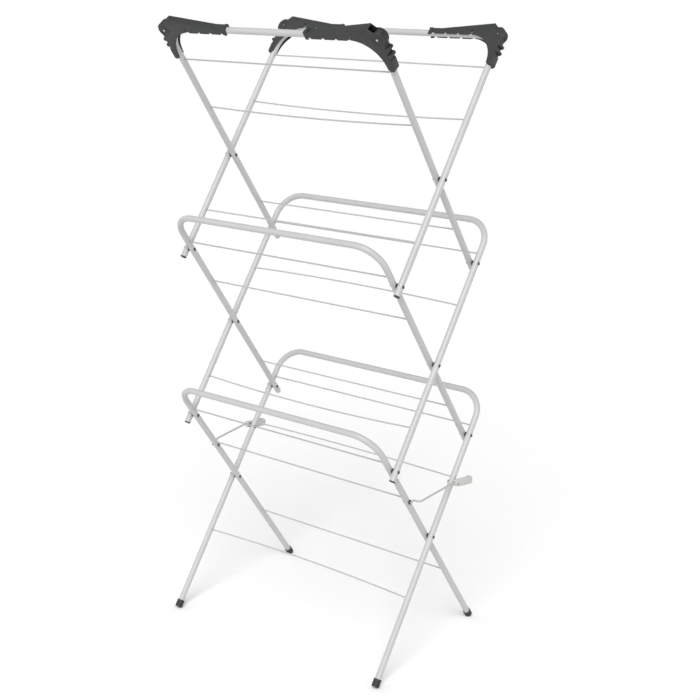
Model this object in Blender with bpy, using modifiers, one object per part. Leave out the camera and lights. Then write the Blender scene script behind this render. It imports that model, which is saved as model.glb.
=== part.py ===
"""Three-tier folding clothes airer: six U-shaped tube frames riveted into a scissor tower.

World frame: X runs along the drying wires, Y from the front to the back, Z up.
The origin is on the floor, in the middle of the four feet.
Every frame is modelled flat, in its own axes: X across, Z up its legs, Y square to it,
with its middle rivet at the origin, and is then leaned about X.
"""
import math

import bmesh
import bpy
from mathutils import Matrix, Vector

# ---- driving dimensions (metres) ---------------------------------------------------------
OUTER_SPAN = 0.635          # between the leg axes of a wide frame
TUBE_D = 0.015
TUBE_WALL = 0.0008
SPACER_T = 0.002            # gap between a wide frame's leg and a narrow frame's leg
BEND_R = 0.062              # centre line of the U bends
LEAN = math.radians(35.9)   # each frame from the vertical, when open

PIVOT_ARM = 0.2644          # middle rivet to end rivet, along a leg
WIDE_BAR_ABOVE_PIVOT = 0.1096     # end rivet to the top bar of a wide frame
NARROW_BAR_ABOVE_PIVOT = 0.1125   # and of a narrow one
TOP_BAR_ABOVE_PIVOT = 0.1193      # and of the narrow frame on top
TOP_WIRE_ABOVE_PIVOT = 0.0256
MIDDLE_WIRE_BELOW_PIVOT = 0.1109
LOW_WIRE_ABOVE_PIVOT = 0.1074
TAIL_BELOW_PIVOT = 0.0255   # leg end past the lower rivet, on the two upper tiers
FOOT_ARM = 0.374            # middle rivet of the base to the end of its feet

WIRE_D = 0.0036
WIRE_IN_TUBE = 0.003        # how far a wire's end reaches past the tube's inner side
SHANK_R = 0.0022
RIVET_HEAD_R = 0.0042
RIVET_HEAD_T = 0.0022
SPACER_R = 0.0062
FIT = 0.0003                # clearance between pieces that touch
HOLE_FIT = 0.0004           # radial clearance of a drilled hole

FOOT_WALL = 0.0017
FOOT_LENGTH = 0.019
FOOT_SOLE = 0.0028
FOOT_FLAT = 0.0022          # height of foot that the floor plane takes off its low edge
CAP_CHAMFER = 0.0012
PLUG_FLANGE = 0.0022        # end plug: what shows below the tube
PLUG_LENGTH = 0.011

COVER_ARM = 0.190           # corner cover along the top bar, from the leg axis
COVER_WALL = 0.0022
COVER_WEB = 0.0020
COVER_RIDGE = 0.027         # height of the hanger socket above the bar axis
COVER_RAMP = 0.155          # where the socket's ridge starts, from the leg axis
COVER_MOUTH = 0.018         # top of the socket's mouth, from the leg axis
COVER_ARC = 0.075           # centre of the cover's inner edge, from both axes
COVER_ARC_R = 0.0705
COVER_HUMP_R = 0.019        # outer edge round the screw boss
COVER_FOOT = 0.081          # lower end of the cover, from the bar axis
COVER_LIP_UP = 0.0015       # cover's open edge, short of the tube's inner side
COVER_COLLAR = 0.006
COVER_FLANGE = 0.0022
NOTCH_R = 0.004
NOTCH_PITCH = 0.0345
NOTCH_COUNT = 4
NOTCH_FROM_END = 0.0135
SCREW_X = -0.0015           # screw boss, from the leg axis and from the bar axis
SCREW_Z = -0.0005
SCREW_R = 0.0013
SCREW_HEAD_R = 0.0025
CLIP_LOW = (-0.0735, -0.0010)   # slot over the tube, two opposite corners
CLIP_HIGH = (-0.0690, 0.0060)
KNOB_R = 0.0045
KNOB_OUT = 0.0165           # knob centres from the leg axis
KNOB_DOWN = (0.0250, 0.0430)
KNOB_HALF = 0.005

LATCH_BELOW_WIRE = 0.0130   # latch pivot and latch pin, below the base's middle wire
LATCH_ROD_D = 0.0048
LATCH_RISE = 0.0075         # strut of the rod above its pivot
LATCH_BOW = {"left": 0.0059, "right": 0.0280}    # strut's start outside the narrow leg
LATCH_BEND_R = {"left": 0.005, "right": 0.009}
WASHER_T = 0.0034           # black washer between the wide leg and the grip
WASHER_R = 0.0050
ROD_COLLAR_T = 0.0024       # collar of the rod against the narrow leg
ROD_COLLAR_R = 0.0055
PIN_R = 0.0024
PIN_HEAD_R = 0.0044
PIN_HEAD_T = 0.0016
GRIP_T = 0.009
GRIP_ROD_UP = 0.0070        # rod above the pin, inside the grip
GRIP_NOSE = 0.010           # grip ahead of the pin
GRIP_TAIL = 0.070           # grip behind the pin

# bow of the wires that are not straight, in the frame's plane (down is positive)
WIRE_BOW = {
    ("top_inner", "middle"): 0.0075,
    ("top_outer", "middle"): 0.0070,
    ("middle_outer", "lower"): 0.0085,
    ("middle_outer", "middle"): -0.0055,
    ("base_outer", "lower"): -0.0070,
    ("base_outer", "middle"): -0.0035,
}
WIRE_RAISE = {("top_inner", "upper"): 0.005}

# ---- sizes that follow ---------------------------------------------------------------------
TUBE_R = TUBE_D / 2
WIRE_R = WIRE_D / 2
INNER_SPAN = OUTER_SPAN - 2 * (TUBE_D + SPACER_T)
FOOT_R = TUBE_R + FIT + FOOT_WALL
WIRE_ARM = {
    "upper": PIVOT_ARM + TOP_WIRE_ABOVE_PIVOT,
    "middle": PIVOT_ARM - MIDDLE_WIRE_BELOW_PIVOT,
    "lower": LOW_WIRE_ABOVE_PIVOT - PIVOT_ARM,
}
TAIL_ARM = PIVOT_ARM + TAIL_BELOW_PIVOT
LATCH_ARM = WIRE_ARM["middle"] - LATCH_BELOW_WIRE
BASE_Z = FOOT_ARM * math.cos(LEAN) + FOOT_R * math.sin(LEAN) - FOOT_FLAT
TIER_RISE = 2 * PIVOT_ARM * math.cos(LEAN)
COVER_HALF = TUBE_R + FIT + COVER_WALL
LATCH_X = OUTER_SPAN / 2 + TUBE_R + WASHER_T + 2 * FIT + GRIP_T / 2

TUBE_SIDES_RES = 4          # bevel resolution: 12 sides
WIRE_SIDES_RES = 2          # 8 sides
BEND_STEPS = 6
HOLE_SIDES = 8
HOLE_TURN = 0.13             # keeps the corners of a hole off the tube's own edges
TURN_STEPS = 12
RIVET_STEPS = 8

SIDES = (("left", -1), ("right", 1))


# ---- collections, materials ---------------------------------------------------------------
def clear_scene():
    for obj in list(bpy.data.objects):
        bpy.data.objects.remove(obj, do_unlink=True)


def new_collection(name):
    collection = bpy.data.collections.new(name)
    bpy.context.scene.collection.children.link(collection)
    return collection


def new_material(name, colour, roughness, metallic=0.0):
    material = bpy.data.materials.new(name)
    material.use_nodes = True
    shader = material.node_tree.nodes["Principled BSDF"]
    shader.inputs["Base Color"].default_value = (*colour, 1.0)
    shader.inputs["Roughness"].default_value = roughness
    shader.inputs["Metallic"].default_value = metallic
    return material


clear_scene()
PARTS = new_collection("clothes_airer")
TOOLS = new_collection("cutters")

TUBE_PAINT = new_material("tube_paint", (0.74, 0.75, 0.76), 0.38)
WIRE_PAINT = new_material("wire_paint", (0.72, 0.73, 0.74), 0.42)
COVER_PLASTIC = new_material("cover_plastic", (0.035, 0.036, 0.038), 0.55)
CAP_PLASTIC = new_material("cap_plastic", (0.018, 0.018, 0.019), 0.5)
GRIP_PLASTIC = new_material("grip_plastic", (0.55, 0.55, 0.52), 0.45)
RIVET_STEEL = new_material("rivet_steel", (0.10, 0.10, 0.11), 0.4, 1.0)
SCREW_STEEL = new_material("screw_steel", (0.62, 0.62, 0.63), 0.3, 1.0)


# ---- building blocks ------------------------------------------------------------------------
def add_object(name, data, collection, material=None, parent=None):
    obj = bpy.data.objects.new(name, data)
    collection.objects.link(obj)
    obj.parent = parent
    if material is not None:
        data.materials.append(material)
    return obj


def add_empty(name, location, lean=0.0):
    empty = add_object(name, None, PARTS)
    empty.location = location
    empty.rotation_euler = (lean, 0.0, 0.0)
    return empty


def path_curve(name, points, radius, resolution, caps=True, scale=None):
    """A round rod or tube surface along the points; scale gives each point's share of radius."""
    data = bpy.data.curves.new(name, "CURVE")
    data.dimensions = "3D"
    data.bevel_depth = radius
    data.bevel_resolution = resolution
    data.use_fill_caps = caps
    spline = data.splines.new("POLY")
    spline.points.add(len(points) - 1)
    for index, point in enumerate(points):
        spline.points[index].co = (*point, 1.0)
        if scale is not None:
            spline.points[index].radius = scale[index]
    return data


def outline_curve(name, outline, half_thickness):
    """A flat outline in X and Y, thickened both ways along Z."""
    data = bpy.data.curves.new(name, "CURVE")
    data.dimensions = "2D"
    data.fill_mode = "BOTH"
    data.extrude = half_thickness
    spline = data.splines.new("POLY")
    spline.points.add(len(outline) - 1)
    for index, (x, y) in enumerate(outline):
        spline.points[index].co = (x, y, 0.0, 1.0)
    spline.use_cyclic_u = True
    return data


def curve_to_mesh(name, data):
    """The curve's mesh, with its caps welded on."""
    curve = bpy.data.objects.new(name + "_curve", data)
    PARTS.objects.link(curve)
    bpy.context.view_layer.update()
    graph = bpy.context.evaluated_depsgraph_get()
    mesh = bpy.data.meshes.new_from_object(curve.evaluated_get(graph))
    bpy.data.objects.remove(curve, do_unlink=True)
    welded = bmesh.new()
    welded.from_mesh(mesh)
    bmesh.ops.remove_doubles(welded, verts=welded.verts, dist=0.00001)
    bmesh.ops.recalc_face_normals(welded, faces=welded.faces)
    welded.to_mesh(mesh)
    welded.free()
    mesh.name = name
    return mesh


def plate_mesh(name, outline, half_thickness):
    """An outline given in frame axes (across, up the leg) and thickened along Y."""
    mesh = curve_to_mesh(name, outline_curve(name, outline, half_thickness))
    mesh.transform(Matrix.Rotation(math.pi / 2, 4, "X"))
    return mesh


def mirror_mesh(mesh):
    mesh.transform(Matrix.Scale(-1, 4, (1, 0, 0)))
    mesh.flip_normals()


def smooth(obj):
    obj.data.shade_smooth()
    obj.data.set_sharp_from_angle(angle=math.radians(40))


def turned(name, profile, material, parent, steps=TURN_STEPS):
    """A profile of (radius, height), run down its outer side, turned about Z."""
    mesh = bpy.data.meshes.new(name)
    points = [(radius, 0.0, height) for radius, height in profile]
    mesh.from_pydata(points, [(i, i + 1) for i in range(len(points) - 1)], [])
    obj = add_object(name, mesh, PARTS, material, parent)
    screw = obj.modifiers.new("turn", "SCREW")
    screw.steps = steps
    screw.render_steps = steps
    screw.use_merge_vertices = True
    screw.merge_threshold = 0.00001
    screw.use_smooth_shade = True
    return obj


def rod_between(tool, start, end, radius, sides=HOLE_SIDES):
    """Adds a round cutter from start to end to the bmesh called tool."""
    axis = Vector(end) - Vector(start)
    place = Matrix.Translation((Vector(start) + Vector(end)) / 2)
    turn = Vector((0, 0, 1)).rotation_difference(axis).to_matrix().to_4x4()
    bmesh.ops.create_cone(tool, cap_ends=True, segments=sides, radius1=radius,
                          radius2=radius, depth=axis.length,
                          matrix=place @ turn @ Matrix.Rotation(HOLE_TURN, 4, "Z"))


def block_between(tool, low, high):
    """Adds a box cutter between two corners to the bmesh called tool."""
    size = Vector(high) - Vector(low)
    place = Matrix.Translation((Vector(low) + Vector(high)) / 2)
    bmesh.ops.create_cube(tool, size=1.0, matrix=place @ Matrix.Diagonal((*size, 1.0)))


def cutter_object(name, tool, parent):
    mesh = bpy.data.meshes.new(name)
    tool.to_mesh(mesh)
    tool.free()
    return hide_cutter(add_object(name, mesh, TOOLS, None, parent))


def hide_cutter(obj):
    obj.hide_render = True
    obj.display_type = "WIRE"
    return obj


def cut(obj, cutter):
    boolean = obj.modifiers.new("cut_" + cutter.name, "BOOLEAN")
    boolean.operation = "DIFFERENCE"
    boolean.solver = "EXACT"
    boolean.object = cutter


def arc(centre, radius, start, end, steps):
    """Points from angle start to angle end, in degrees, both included."""
    points = []
    for step in range(steps + 1):
        angle = math.radians(start + (end - start) * step / steps)
        points.append((centre[0] + radius * math.cos(angle),
                       centre[1] + radius * math.sin(angle)))
    return points


# ---- U-shaped tubes -------------------------------------------------------------------------
def wire_arm(frame, level):
    return WIRE_ARM[level] + WIRE_RAISE.get((frame["name"], level), 0.0)


def u_path(span, bar_arm, leg_end, domed):
    """The tube's centre line from foot to foot, and each point's share of the radius."""
    side = span / 2
    bend_x = side - BEND_R
    bend_z = bar_arm - BEND_R
    right = [(side, leg_end)]
    share = [1.0]
    if domed:
        right = [(side, leg_end), (side, leg_end + 0.0012), (side, leg_end + 0.0045)]
        share = [0.45, 0.82, 1.0]
    right += arc((bend_x, bend_z), BEND_R, 0, 90, BEND_STEPS)
    share += [1.0] * (BEND_STEPS + 1)
    left = [(-x, z) for x, z in reversed(right)]
    flat = right + left
    return [(x, 0.0, z) for x, z in flat], share + share[::-1]


def drill_tube(frame, tube, empty):
    """Rivet holes through both walls, and wire holes in the inner wall of each leg."""
    tool = bmesh.new()
    for _, sign in SIDES:
        leg_x = sign * frame["span"] / 2
        reach = sign * (TUBE_R + 0.002)
        for arm in frame["through_holes"]:
            rod_between(tool, (leg_x - reach, 0, arm[0]), (leg_x + reach, 0, arm[0]), arm[1])
        for arm in [wire_arm(frame, level) for level in WIRE_ARM]:
            rod_between(tool, (leg_x - reach, 0, arm), (leg_x, 0, arm), WIRE_R + HOLE_FIT)
    cutter = cutter_object(frame["name"] + "_drill", tool, empty)
    cutter.location = (0, 0, -frame["hinge_arm"])
    cut(tube, cutter)


def add_tube(frame, empty):
    points, share = u_path(frame["span"], frame["bar_arm"], frame["leg_end"],
                           frame["domed"])
    name = frame["name"] + "_tube"
    data = path_curve(name, points, TUBE_R, TUBE_SIDES_RES, caps=False, scale=share)
    tube = add_object(name, curve_to_mesh(name, data), PARTS, TUBE_PAINT, empty)
    tube.location = (0, 0, -frame["hinge_arm"])
    wall = tube.modifiers.new("wall", "SOLIDIFY")
    wall.thickness = TUBE_WALL
    wall.offset = -1
    drill_tube(frame, tube, empty)
    smooth(tube)


def add_wires(frame, empty):
    end_x = frame["span"] / 2 - TUBE_R + WIRE_IN_TUBE
    for level in WIRE_ARM:
        arm = wire_arm(frame, level)
        bow = WIRE_BOW.get((frame["name"], level), 0.0)
        steps = 10 if bow else 1
        points = []
        for step in range(steps + 1):
            across = 2 * step / steps - 1
            points.append((across * end_x, 0.0, arm - bow * (1 - across ** 2)))
        name = f"{frame['name']}_wire_{level}"
        wire = add_object(name, path_curve(name, points, WIRE_R, WIRE_SIDES_RES), PARTS,
                          WIRE_PAINT, empty)
        wire.location = (0, 0, -frame["hinge_arm"])


# ---- rivets, caps and feet --------------------------------------------------------------------
def rivet_profile():
    """A shouldered rivet along the leg-to-leg axis: head, shank, spacer collar, shank, tail."""
    head = OUTER_SPAN / 2 + TUBE_R + FIT
    collar_out = OUTER_SPAN / 2 - TUBE_R - FIT
    collar_in = INNER_SPAN / 2 + TUBE_R + FIT
    tail = INNER_SPAN / 2 - TUBE_R - FIT
    return [
        (0.0, head + RIVET_HEAD_T),
        (RIVET_HEAD_R * 0.75, head + RIVET_HEAD_T * 0.7),
        (RIVET_HEAD_R, head),
        (SHANK_R, head),
        (SHANK_R, collar_out),
        (SPACER_R, collar_out),
        (SPACER_R, collar_in),
        (SHANK_R, collar_in),
        (SHANK_R, tail),
        (RIVET_HEAD_R * 0.95, tail),
        (RIVET_HEAD_R * 0.65, tail - RIVET_HEAD_T * 0.65),
        (0.0, tail - RIVET_HEAD_T * 0.8),
    ]


def add_rivets(frame, empty):
    for label, arm in frame["rivets"]:
        for side, sign in SIDES:
            rivet = turned(f"rivet_{label}_{side}", rivet_profile(), RIVET_STEEL, empty,
                           RIVET_STEPS)
            rivet.location = (0, 0, arm - frame["hinge_arm"])
            rivet.rotation_euler = (0, sign * math.pi / 2, 0)


def cup_profile(radius, length, sole, chamfer):
    """A cap over a tube's lower end: up its bore, over the rim, and down its outer side."""
    bore = TUBE_R + FIT
    return [
        (0.0, sole),
        (bore, sole),
        (bore, length),
        (radius - chamfer / 2, length),
        (radius, length - chamfer / 2),
        (radius, chamfer),
        (radius - chamfer, 0.0),
        (0.0, 0.0),
    ]


def plug_profile():
    """An end plug: a thin flange below the tube's end and a body up its bore."""
    bore = TUBE_R - TUBE_WALL - FIT
    return [
        (0.0, PLUG_LENGTH),
        (bore, PLUG_LENGTH),
        (bore, PLUG_FLANGE),
        (TUBE_R, PLUG_FLANGE),
        (TUBE_R, CAP_CHAMFER),
        (TUBE_R - CAP_CHAMFER, 0.0),
        (0.0, 0.0),
    ]


def add_cup(frame, empty, side, sign, profile):
    cup = turned(f"{frame['cap_name']}_{side}", profile, CAP_PLASTIC, empty)
    cup.location = (sign * frame["span"] / 2, 0, frame["cup_end"] - frame["hinge_arm"])
    return cup


def add_caps(frame, empty):
    """Feet on the base frames, end caps on the wide frames above; narrow ones are closed."""
    for side, sign in SIDES:
        if frame["cap"] == "foot":
            profile = cup_profile(FOOT_R, FOOT_LENGTH, FOOT_SOLE, CAP_CHAMFER)
            cut(add_cup(frame, empty, side, sign, profile), FLOOR)
        elif frame["cap"] == "end":
            add_cup(frame, empty, side, sign, plug_profile())


def floor_cutter():
    """Everything under the floor, which leaves each foot a small flat to stand on."""
    tool = bmesh.new()
    block_between(tool, (-1, -1, -0.1), (1, 1, 0))
    return cutter_object("floor", tool, None)


# ---- corner covers --------------------------------------------------------------------------
def ridge_height(across):
    """Top edge of the cover above the bar axis; across is measured from the leg axis."""
    low = TUBE_R + 0.0012
    share = (across + COVER_RAMP) / (COVER_RAMP - COVER_MOUTH)
    return low + (COVER_RIDGE - low) * min(max(share, 0.0), 1.0)


def cover_outline():
    """Outline of the right-hand cover; the origin is where the leg and bar axes cross."""
    lip = -(TUBE_R - COVER_LIP_UP)
    end = -COVER_ARM
    collar = end + COVER_COLLAR
    foot = -COVER_FOOT
    points = [(end, lip - COVER_FLANGE), (collar, lip - COVER_FLANGE), (collar, lip)]
    points += [(-COVER_ARC - 0.008, lip)]
    points += arc((-COVER_ARC, -COVER_ARC), COVER_ARC_R, 88, 10, 8)
    points += [(-0.0040, foot + 0.006), (0.000, foot + 0.0015), (0.004, foot)]
    points += [(0.0085, foot + 0.0008), (0.0120, foot + 0.006), (0.0138, foot + 0.020)]
    points += [(0.0138, foot + 0.028), (0.0108, foot + 0.0315)]
    for down in reversed(KNOB_DOWN):
        points += [(0.0108, -down - KNOB_R * 0.7)]
        points += [(0.0108, -down + KNOB_R * 0.7)]
    points += arc((SCREW_X, SCREW_Z), COVER_HUMP_R, -42, 78, 7)
    points += [(-0.0080, 0.0172), (-COVER_MOUTH, COVER_RIDGE)]
    points += [(-COVER_RAMP, ridge_height(-COVER_RAMP)), (collar, ridge_height(collar))]
    points += [(collar, ridge_height(collar) + COVER_FLANGE)]
    points += [(end, ridge_height(collar) + COVER_FLANGE)]
    return points


def cover_cavity():
    """The hollow inside the cover: open along its inner edge and at the socket's mouth."""
    start = -COVER_ARM + COVER_COLLAR
    web = COVER_WEB
    floor = 0.0118
    mouth = COVER_RIDGE - web
    hump = arc((SCREW_X, SCREW_Z), COVER_HUMP_R - web, 50, -38, 5)
    return [
        (start, -COVER_ARC), (start, floor - 0.0042), (-COVER_RAMP, floor - 0.0042),
        (-COVER_MOUTH, mouth), (0.004, mouth), (0.004, 0.0195), (-0.0062, floor + 0.002),
    ] + hump + [
        (0.0090, -0.0170), (0.0090, -COVER_FOOT + 0.0300), (0.0112, -COVER_FOOT + 0.0265),
        (0.0108, -COVER_FOOT + 0.012), (0.0085, -COVER_FOOT + 0.004),
        (0.004, -COVER_FOOT - 0.004), (-0.012, -COVER_FOOT - 0.004),
        (-COVER_ARC, -COVER_ARC),
    ]


def cover_cutters(name, mirrored):
    """The tube's bed, the notches along the open edge, the clip slot and the screw hole."""
    cutters = []
    cavity = plate_mesh(name + "_cavity", cover_cavity(), COVER_HALF - COVER_WALL)
    bed_points = [(0.0, 0.0, -COVER_FOOT - 0.05)]
    bed_points += [(x, 0.0, z) for x, z in arc((-BEND_R, -BEND_R), BEND_R, 0, 90, BEND_STEPS)]
    bed_points += [(-COVER_ARM - 0.02, 0.0, 0.0)]
    bed = curve_to_mesh(name + "_bed", path_curve(name, bed_points, TUBE_R + FIT,
                                                  TUBE_SIDES_RES))
    tool = bmesh.new()
    lip = -(TUBE_R - COVER_LIP_UP)
    far = COVER_HALF + 0.002
    for index in range(NOTCH_COUNT):
        across = -COVER_ARM + NOTCH_FROM_END + index * NOTCH_PITCH
        rod_between(tool, (across, -far, lip), (across, far, lip), NOTCH_R, 10)
    rod_between(tool, (SCREW_X, -far, SCREW_Z), (SCREW_X, far, SCREW_Z),
                SCREW_R + HOLE_FIT)
    block_between(tool, (CLIP_LOW[0], -far, CLIP_LOW[1]), (CLIP_HIGH[0], far, CLIP_HIGH[1]))
    holes = bpy.data.meshes.new(name + "_holes")
    tool.to_mesh(holes)
    tool.free()
    for mesh in (cavity, bed, holes):
        if mirrored:
            mirror_mesh(mesh)
        cutters.append(hide_cutter(add_object(mesh.name, mesh, TOOLS)))
    return cutters


def knob_outline(down):
    """A knob standing out of the cover's outer edge."""
    points = [(0.0100, -down - KNOB_R), (KNOB_OUT, -down - KNOB_R)]
    points += arc((KNOB_OUT, -down), KNOB_R, -60, 60, 5)
    points += [(KNOB_OUT, -down + KNOB_R), (0.0100, -down + KNOB_R)]
    return points


def add_knobs(cover, name, empty, corner, mirrored):
    for index, down in enumerate(KNOB_DOWN):
        mesh = plate_mesh(f"{name}_knob_{index}", knob_outline(down), KNOB_HALF)
        if mirrored:
            mirror_mesh(mesh)
        knob = hide_cutter(add_object(mesh.name, mesh, TOOLS, None, empty))
        knob.location = corner
        union = cover.modifiers.new(mesh.name, "BOOLEAN")
        union.operation = "UNION"
        union.solver = "EXACT"
        union.object = knob


def add_cover(frame, empty, side, sign):
    name = f"{frame['cover_name']}_{side}"
    mesh = plate_mesh(name, cover_outline(), COVER_HALF)
    if sign < 0:
        mirror_mesh(mesh)
    cover = add_object(name, mesh, PARTS, COVER_PLASTIC, empty)
    corner = (sign * frame["span"] / 2, 0, frame["bar_arm"] - frame["hinge_arm"])
    cover.location = corner
    for cutter in cover_cutters(name, sign < 0):
        cutter.parent = empty
        cutter.location = corner
        cut(cover, cutter)
    add_knobs(cover, name, empty, corner, sign < 0)
    smooth(cover)


def screw_profile():
    """A pan-head screw across the cover: its head is on top, outside one wall."""
    seat = COVER_HALF + FIT
    return [
        (0.0, seat + 0.0020), (SCREW_HEAD_R * 0.6, seat + 0.0018),
        (SCREW_HEAD_R, seat + 0.0008), (SCREW_HEAD_R, seat), (SCREW_R, seat),
        (SCREW_R, -COVER_HALF + 0.001), (SCREW_R * 0.5, -COVER_HALF), (0.0, -COVER_HALF),
    ]


def add_cover_screw(frame, empty, side, sign):
    screw = turned(f"cover_screw_{frame['cover_end']}_{side}", screw_profile(), SCREW_STEEL,
                   empty)
    screw.location = (sign * (frame["span"] / 2 + SCREW_X), 0,
                      frame["bar_arm"] + SCREW_Z - frame["hinge_arm"])
    screw.rotation_euler = (frame["screw_turn"], 0, 0)


# ---- fold lock: a bent rod pivoted on the inner base frame, hooked on the outer one ----------
def latch_points():
    """Pivot and pin as (Y, Z) in the world."""
    pivot = (-LATCH_ARM * math.sin(LEAN), BASE_Z + LATCH_ARM * math.cos(LEAN))
    pin = (LATCH_ARM * math.sin(LEAN), BASE_Z + LATCH_ARM * math.cos(LEAN))
    return pivot, pin


def rod_points(side):
    """From the peened end inside the leg, out along X, round a bend and back to the grip."""
    pivot, pin = latch_points()
    reach = pin[0] - pivot[0]
    inside = INNER_SPAN / 2 - TUBE_R - FIT
    face = INNER_SPAN / 2 + TUBE_R + FIT
    bow = INNER_SPAN / 2 + TUBE_R + LATCH_BOW[side]
    bend_r = LATCH_BEND_R[side]
    collar = ROD_COLLAR_R / (LATCH_ROD_D / 2)
    step = 0.00005
    points = [(inside - 0.0018, 0.0, 0.0), (inside, 0.0, 0.0), (inside + step, 0.0, 0.0),
              (face, 0.0, 0.0), (face + step, 0.0, 0.0), (face + ROD_COLLAR_T, 0.0, 0.0),
              (face + ROD_COLLAR_T + step, 0.0, 0.0)]
    share = [1.7, 1.7, 1.0, 1.0, collar, collar, 1.0]
    low = 0.0
    if bow - bend_r > face + 0.015:
        for out, up in ((0.0055, 0.0012), (0.0095, 0.0060), (0.0130, 1.0)):
            points.append((face + out, 0.0, min(up, LATCH_RISE)))
        low = LATCH_RISE
    for x, y in arc((bow - bend_r, bend_r), bend_r, -90 if low else -70, 0, 5):
        points.append((x, y, low))
    if not low:
        points += [(bow + 0.0003, bend_r + 0.006, 0.0014), (bow + 0.0010, bend_r + 0.013, 0.0062)]
        points.append((bow + 0.0015, bend_r + 0.018, LATCH_RISE))
    points.append((LATCH_X - 0.0004, reach - GRIP_NOSE - 0.006, GRIP_ROD_UP))
    points.append((LATCH_X, reach - GRIP_NOSE - 0.001, GRIP_ROD_UP))
    points.append((LATCH_X, reach + 0.001, GRIP_ROD_UP))
    share += [1.0] * (len(points) - len(share))
    return points, share


def grip_outline():
    """Side view of the grip as (Y, Z) from the latch pin, with the hook that drops over it."""
    seat = PIN_R + FIT
    points = [(-GRIP_NOSE, 0.0030), (-GRIP_NOSE, 0.0120), (-GRIP_NOSE + 0.001, 0.0127)]
    points += [(GRIP_TAIL - 0.020, 0.0034), (GRIP_TAIL - 0.014, 0.0042)]
    points += [(GRIP_TAIL - 0.006, 0.0028), (GRIP_TAIL, -0.0015), (GRIP_TAIL, -0.0125)]
    points += [(GRIP_TAIL - 0.004, -0.0180), (0.0060, -0.0085), (seat, -0.0070)]
    points += arc((0.0, 0.0), seat, 0, 165, 6)
    points += [(-0.0062, -0.0046), (-GRIP_NOSE + 0.0008, -0.0010)]
    return points


def add_latch(side, sign):
    pivot, pin = latch_points()
    hinge = add_empty(f"latch_hinge_{side}", (0.0, pivot[0], pivot[1]))
    name = f"latch_rod_{side}"
    points, share = rod_points(side)
    rod_mesh = curve_to_mesh(name, path_curve(name, points, LATCH_ROD_D / 2, WIRE_SIDES_RES,
                                              scale=share))
    name = f"latch_grip_{side}"
    grip_mesh = curve_to_mesh(name, outline_curve(name, grip_outline(), GRIP_T / 2))
    grip_mesh.transform(Matrix(((0, 0, 1, 0), (1, 0, 0, 0), (0, 1, 0, 0), (0, 0, 0, 1))))
    tool = bmesh.new()
    rod_between(tool, (0, -GRIP_NOSE - 0.01, GRIP_ROD_UP), (0, 0.002, GRIP_ROD_UP),
                LATCH_ROD_D / 2 + HOLE_FIT, 12)
    bore = cutter_object(f"grip_bore_{side}", tool, hinge)
    if sign < 0:
        mirror_mesh(rod_mesh)
    rod = add_object(f"latch_rod_{side}", rod_mesh, PARTS, WIRE_PAINT, hinge)
    smooth(rod)
    grip = add_object(f"latch_grip_{side}", grip_mesh, PARTS, GRIP_PLASTIC, hinge)
    grip.location = (sign * LATCH_X, pin[0] - pivot[0], pin[1] - pivot[1])
    bore.location = grip.location
    cut(grip, bore)
    smooth(grip)


def pin_profile():
    """The latch pin through the outer leg: inner head, shank and washer outside the leg."""
    inside = OUTER_SPAN / 2 - TUBE_R - FIT
    face = OUTER_SPAN / 2 + TUBE_R + FIT
    outside = LATCH_X + GRIP_T / 2 - 0.0005
    return [
        (0.0, outside), (PIN_R, outside), (PIN_R, face + WASHER_T),
        (WASHER_R, face + WASHER_T), (WASHER_R, face), (PIN_R, face),
        (PIN_R, inside), (PIN_HEAD_R, inside), (PIN_HEAD_R, inside - PIN_HEAD_T * 0.6),
        (PIN_HEAD_R * 0.8, inside - PIN_HEAD_T), (0.0, inside - PIN_HEAD_T),
    ]


def add_latch_pins(frame, empty):
    for side, sign in SIDES:
        pin = turned(f"latch_pin_{side}", pin_profile(), RIVET_STEEL, empty)
        pin.location = (0, 0, LATCH_ARM - frame["hinge_arm"])
        pin.rotation_euler = (0, sign * math.pi / 2, 0)


# ---- the six frames -------------------------------------------------------------------------
def rivet_holes(*arms):
    return [(arm, SHANK_R + HOLE_FIT) for arm in arms]


def make_frame(name, tier, wide, leg_end, arms, hinge_arm=0.0, **details):
    """Wide frames lean back at the top, narrow ones lean forward."""
    frame = {
        "name": name,
        "span": OUTER_SPAN if wide else INNER_SPAN,
        "lean": -LEAN if wide else LEAN,
        "centre_z": BASE_Z + tier * TIER_RISE,
        "leg_end": leg_end,
        "hinge_arm": hinge_arm,
        "bar_arm": PIVOT_ARM + (WIDE_BAR_ABOVE_PIVOT if wide else NARROW_BAR_ABOVE_PIVOT),
        "through_holes": rivet_holes(*arms),
        "domed": False,
        "rivets": [],
        "cap": None,
        "cup_end": -FOOT_ARM if tier == 0 else -TAIL_ARM,
    }
    frame.update(details)
    return frame


def build_frame(frame):
    up = Vector((0, -math.sin(frame["lean"]), math.cos(frame["lean"])))
    hinge = Vector((0, 0, frame["centre_z"])) + up * frame["hinge_arm"]
    empty = add_empty(frame["name"] + "_hinge", hinge, frame["lean"])
    bpy.context.view_layer.update()
    add_tube(frame, empty)
    add_wires(frame, empty)
    add_rivets(frame, empty)
    add_caps(frame, empty)
    if "cover_name" in frame:
        for side, sign in SIDES:
            add_cover(frame, empty, side, sign)
            add_cover_screw(frame, empty, side, sign)
    return empty


FLOOR = floor_cutter()
foot_end = -FOOT_ARM + FOOT_SOLE + FIT
tail_end = -TAIL_ARM + PLUG_FLANGE + FIT
rod_hole = (LATCH_ARM, LATCH_ROD_D / 2 + HOLE_FIT)
pin_hole = (LATCH_ARM, PIN_R + HOLE_FIT)

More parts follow.
